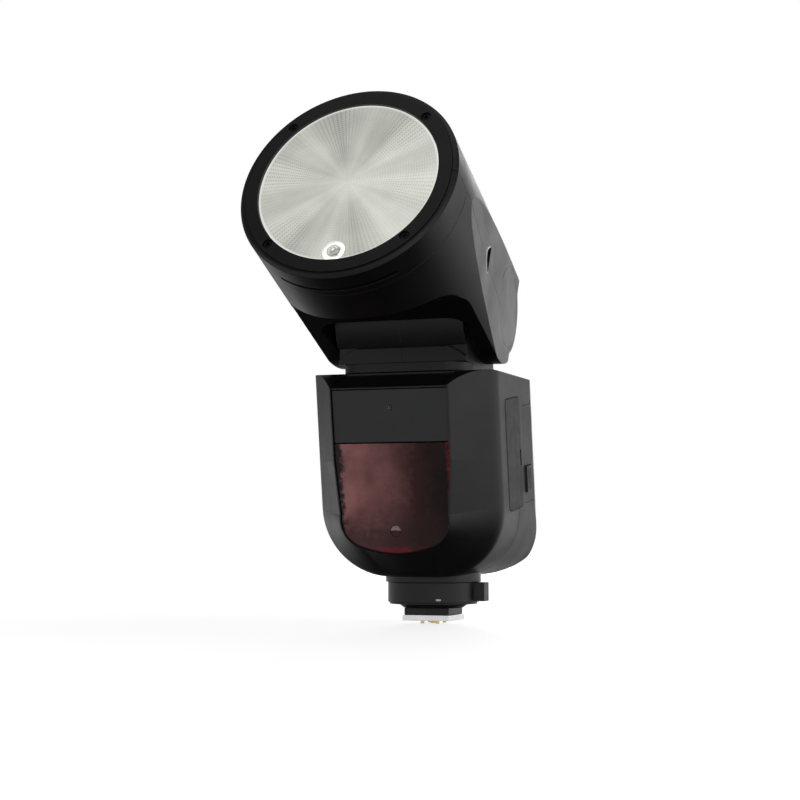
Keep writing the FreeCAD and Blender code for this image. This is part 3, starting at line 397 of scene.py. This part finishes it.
MATERIALS = {
    "shell_black": plastic("shell_black", (0.0045, 0.0045, 0.0047), (0.0065, 0.0065, 0.0067),
                           0.40, 3200.0, 0.03 * MM),
    "battery_black": plastic("battery_black", (0.005, 0.005, 0.0052), (0.007, 0.007, 0.0072),
                             0.42, 3200.0, 0.03 * MM),
    "panel_black": plastic("panel_black", (0.017, 0.0175, 0.018), (0.022, 0.0225, 0.023),
                           0.34, 4200.0, 0.02 * MM),
    "ring_black": plastic("ring_black", (0.004, 0.004, 0.0042), (0.006, 0.006, 0.0062),
                          0.5, 3600.0, 0.03 * MM),
    "key_grey": plastic("key_grey", (0.028, 0.028, 0.029), (0.036, 0.036, 0.037),
                        0.5, 3000.0, 0.03 * MM),
    "frame_plastic": plastic("frame_plastic", (0.55, 0.55, 0.52), (0.66, 0.66, 0.63),
                             0.45, 2600.0, 0.03 * MM),
    "capacitor_sleeve": plastic("capacitor_sleeve", (0.02, 0.03, 0.06), (0.03, 0.04, 0.08),
                                0.25, 1800.0, 0.02 * MM),
    "rubber_black": rubber(),
    "window_red": window_red(),
    "lens_clear": lens_painted_glow(),
    "dome_clear": dome_clear(),
    "tube_glass": clear("tube_glass", (0.95, 0.97, 0.99), 0.02),
    "sensor_dark": sensor_dark(),
    "indicator_clear": clear("indicator_clear", (0.97, 0.98, 0.95), 0.03),
    "screw_black": metal("screw_black", (0.035, 0.035, 0.036), 0.42),
    "display_glass": clear("display_glass", (0.30, 0.33, 0.32), 0.04, 0.9),
    "display_face": display(),
    "board_green": circuit_board(),
    "foot_metal": metal("foot_metal", (0.97, 0.97, 0.98), 0.22),
    "steel": metal("steel", (0.35, 0.35, 0.36), 0.35),
    "contact_gold": metal("contact_gold", (0.80, 0.62, 0.30), 0.25),
    "reflector_bright": metal("reflector_bright", (0.92, 0.92, 0.91), 0.12),
    "heat_sink": metal("heat_sink", (0.55, 0.55, 0.57), 0.4),
}


def dress_nodes():
    """Gives each CAD node its slot's material."""
    slots = {entry["node"]: entry["material_slot"] for entry in frame["record"]["subparts"]}
    finer = {"panel_indicator": "indicator_clear", "ring_screws": "screw_black"}
    for name, node in nodes.items():
        node.data.materials.clear()
        node.data.materials.append(MATERIALS[finer.get(name, slots[name])])


# Mesh helpers

def piece(name, mesh, material, body):
    item = bpy.data.objects.new(name, mesh)
    bpy.context.scene.collection.objects.link(item)
    mesh.materials.append(MATERIALS[material] if isinstance(material, str) else material)
    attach(item, body)
    return item


def turned(name, profile, steps, place):
    """Mesh of a profile (radius, height) turned about +Z; a zero radius closes to a point."""
    mesh = bmesh.new()
    rings = []
    for radius, height in profile:
        if radius == 0:
            rings.append([mesh.verts.new(place @ Vector((0, 0, height)))])
            continue
        turn = [2 * math.pi * step / steps for step in range(steps)]
        rings.append([mesh.verts.new(place @ Vector((radius * math.cos(a), radius * math.sin(a), height)))
                      for a in turn])
    for lower, upper in zip(rings, rings[1:]):
        for step in range(steps):
            after = (step + 1) % steps
            if len(lower) == 1:
                mesh.faces.new((lower[0], upper[after], upper[step]))
            elif len(upper) == 1:
                mesh.faces.new((lower[step], lower[after], upper[0]))
            else:
                mesh.faces.new((lower[step], lower[after], upper[after], upper[step]))
    bmesh.ops.recalc_face_normals(mesh, faces=mesh.faces)
    data = bpy.data.meshes.new(name)
    mesh.to_mesh(data)
    mesh.free()
    return data


# Pieces

def fresnel_lens():
    """The lens with its real saw-tooth rings on the front."""
    profile = [(0, LENS_FACE - LENS_DEPTH)]
    radius = LENS_PITCH
    while radius < LENS_R - 1.2 * MM:
        profile.append((radius - 0.12 * LENS_PITCH, LENS_FACE - LENS_DEPTH * 0.1))
        profile.append((radius, LENS_FACE - LENS_DEPTH))
        radius += LENS_PITCH
    profile += [(LENS_R - 0.5 * MM, LENS_FACE - 0.02 * MM), (LENS_R - 0.1 * MM, LENS_FACE - 0.08 * MM),
                (LENS_R, LENS_FACE - 0.3 * MM), (LENS_R, LENS_BACK), (0, LENS_BACK)]
    place = HEAD @ Matrix.Translation(Vector((0, BARREL_Y, 0)))
    mesh = turned("lens_rings", profile, 160, place)
    lens = piece("lens_rings", mesh, "lens_clear", "head")
    cut_lamp_well(lens)
    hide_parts("fresnel_lens")


def cut_lamp_well(lens):
    """Takes the round well of the modelling lamp out of the lens."""
    low, high = LENS_BACK - 1.7 * MM, LENS_FACE + 2.4 * MM
    place = HEAD @ Matrix.Translation(Vector((0, BARREL_Y - LAMP_OFFSET, 0)))
    profile = [(0, low), (WELL_R, low), (WELL_R, high), (0, high)]
    well = bpy.data.objects.new("lamp_well", turned("lamp_well", profile, 48, place))
    bpy.context.scene.collection.objects.link(well)
    hole = lens.modifiers.new("well", "BOOLEAN")
    hole.operation = "DIFFERENCE"
    hole.solver = "EXACT"
    hole.object = well
    bpy.context.view_layer.update()
    depsgraph = bpy.context.evaluated_depsgraph_get()
    cut_mesh = bpy.data.meshes.new_from_object(lens.evaluated_get(depsgraph))
    lens.modifiers.clear()
    lens.data = cut_mesh
    bpy.data.objects.remove(well)


def ring_mark():
    """Small white index dash on the lock ring's lower front edge."""
    mesh = bmesh.new()
    columns = []
    for step in range(5):
        angle = math.radians(-68 + 1.5 * step)
        x, y = LOCK_RING_R * math.cos(angle), LOCK_RING_R * math.sin(angle)
        columns.append([mesh.verts.new((x, y, z * MM)) for z in (7.4, 8.1)])
    for left, right in zip(columns, columns[1:]):
        mesh.faces.new((left[0], right[0], right[1], left[1]))
    data = bpy.data.meshes.new("ring_mark")
    mesh.to_mesh(data)
    mesh.free()
    mark = piece("ring_mark", data, white_paint(), "lock_ring")
    solid = mark.modifiers.new("thickness", "SOLIDIFY")
    solid.thickness = 0.05 * MM


def white_paint():
    """Printed white mark, slightly uneven."""
    m = Nodes("white_paint")
    m.join(m.mix(m.noise(800.0), (0.8, 0.8, 0.78), (0.65, 0.65, 0.63)), m.shader.inputs["Base Color"])
    m.join(m.span(m.noise(900.0), 0.4, 0.6), m.shader.inputs["Roughness"])
    m.bump(m.noise(2000.0), 0.2, 0.02 * MM)
    return m.material


def shade_nodes():
    """Smooth shading; the CAD meshes keep their own creases."""
    for node in nodes.values():
        for polygon in node.data.polygons:
            polygon.use_smooth = True


# Stage, light and camera

def stage_floor():
    """Pale paper, plain white far off; in reflections it is bright at a glance, dark from above."""
    m = Nodes("floor_paper")
    m.join(m.ramp(m.noise(3.0), [(0.3, (0.50, 0.50, 0.50)), (0.7, (0.54, 0.54, 0.54))]),
           m.shader.inputs["Base Color"])
    m.join(m.span(m.noise(40.0), 0.6, 0.8), m.shader.inputs["Roughness"])
    length = m.add("ShaderNodeVectorMath", operation="LENGTH")
    m.join(m.coords, length.inputs[0])
    far = m.span(length.outputs["Value"], 0.80, 1.0, 0.10, 0.55)
    m.set(Emission_Color=(1, 1, 1, 1))
    m.join(far, m.shader.inputs["Emission Strength"])
    _, _, steepness = m.axes(m.add("ShaderNodeNewGeometry").outputs["Incoming"])
    glance = m.add("ShaderNodeEmission")
    m.join(m.span(m.math("ABSOLUTE", steepness), 0.85, 0.02, 0.12, 0.55), glance.inputs["Strength"])
    choose = m.add("ShaderNodeMixShader")
    m.join(m.add("ShaderNodeLightPath").outputs["Is Camera Ray"], choose.inputs["Fac"])
    m.join(glance.outputs[0], choose.inputs[1])
    m.join(m.shader.outputs[0], choose.inputs[2])
    m.join(choose.outputs[0], m.output.inputs["Surface"])
    low, _ = cad_bounds
    z = low[2] - 0.2 * MM
    corners = [(x * FLOOR_HALF, y * FLOOR_HALF, z) for x, y in ((-1, -1), (1, -1), (1, 1), (-1, 1))]
    mesh = bpy.data.meshes.new("floor")
    mesh.from_pydata(corners, [], [(0, 1, 2, 3)])
    mesh.materials.append(m.material)
    floor = bpy.data.objects.new("floor", mesh)
    bpy.context.scene.collection.objects.link(floor)


def area_light(name, location, target, size, power):
    """Soft box that faces the target and stays out of the camera's sight."""
    light = bpy.data.lights.new(name, "AREA")
    light.shape = "RECTANGLE"
    light.size, light.size_y = size
    light.energy = power
    item = bpy.data.objects.new(name, light)
    item.location = location
    direction = Vector(target) - Vector(location)
    item.rotation_euler = direction.to_track_quat("-Z", "Y").to_euler()
    item.visible_camera = False
    bpy.context.scene.collection.objects.link(item)


def studio_light():
    """White tent, bright low on the right and dimmer overhead and on the left, with three soft boxes."""
    world = bpy.data.worlds.new("studio")
    bpy.context.scene.world = world
    world.use_nodes = True
    tree = world.node_tree
    background = tree.nodes["Background"]
    direction = tree.nodes.new("ShaderNodeTexCoord")
    height = tree.nodes.new("ShaderNodeSeparateXYZ")
    tree.links.new(direction.outputs["Generated"], height.inputs[0])
    ramp = tree.nodes.new("ShaderNodeValToRGB")
    elements = ramp.color_ramp.elements
    elements[0].position, elements[0].color = 0.0, (0.85, 0.85, 0.86, 1)
    elements[1].position, elements[1].color = 1.0, (0.16, 0.16, 0.165, 1)
    for position, grey in ((0.30, 0.70), (0.62, 0.16)):
        elements.new(position).color = (grey, grey, grey, 1)
    tree.links.new(height.outputs["Z"], ramp.inputs["Fac"])
    path = tree.nodes.new("ShaderNodeLightPath")
    mix = tree.nodes.new("ShaderNodeMix")
    mix.data_type = "RGBA"
    mix.inputs[7].default_value = (1.0, 1.0, 1.0, 1)
    tree.links.new(path.outputs["Is Camera Ray"], mix.inputs["Factor"])
    left_to_right = tree.nodes.new("ShaderNodeMapRange")
    left_to_right.inputs["From Min"].default_value = -1.0
    left_to_right.inputs["To Min"].default_value = 0.15
    tree.links.new(height.outputs["X"], left_to_right.inputs["Value"])
    side_shade = tree.nodes.new("ShaderNodeVectorMath")
    side_shade.operation = "SCALE"
    tree.links.new(ramp.outputs["Color"], side_shade.inputs[0])
    tree.links.new(left_to_right.outputs["Result"], side_shade.inputs["Scale"])
    tree.links.new(side_shade.outputs["Vector"], mix.inputs[6])
    tree.links.new(mix.outputs[2], background.inputs["Color"])
    middle = (0, -0.02, 0.09)
    area_light("key_right", (0.80, 0.10, 0.25), middle, (0.6, 0.6), 0.5)
    area_light("back", (-0.13, 0.94, 0.22), middle, (0.46, 0.5), 2.2)
    area_light("top", (0.05, -0.10, 0.85), middle, (0.9, 0.6), 0.9)


def photo_camera():
    camera = bpy.data.cameras.new("camera")
    camera.sensor_width = 36.0
    camera.lens = 78.27
    camera.clip_start = 0.01
    item = bpy.data.objects.new("camera", camera)
    item.location = (0.2102, -0.6087, 0.0327)
    item.rotation_euler = Vector((-0.3435, 0.9362, 0.0748)).to_track_quat("-Z", "Y").to_euler()
    bpy.context.scene.collection.objects.link(item)
    bpy.context.scene.camera = item
    bpy.context.scene.view_settings.view_transform = "Standard"


dress_nodes()
shade_nodes()
fresnel_lens()
ring_mark()
stage_floor()
studio_light()
photo_camera()
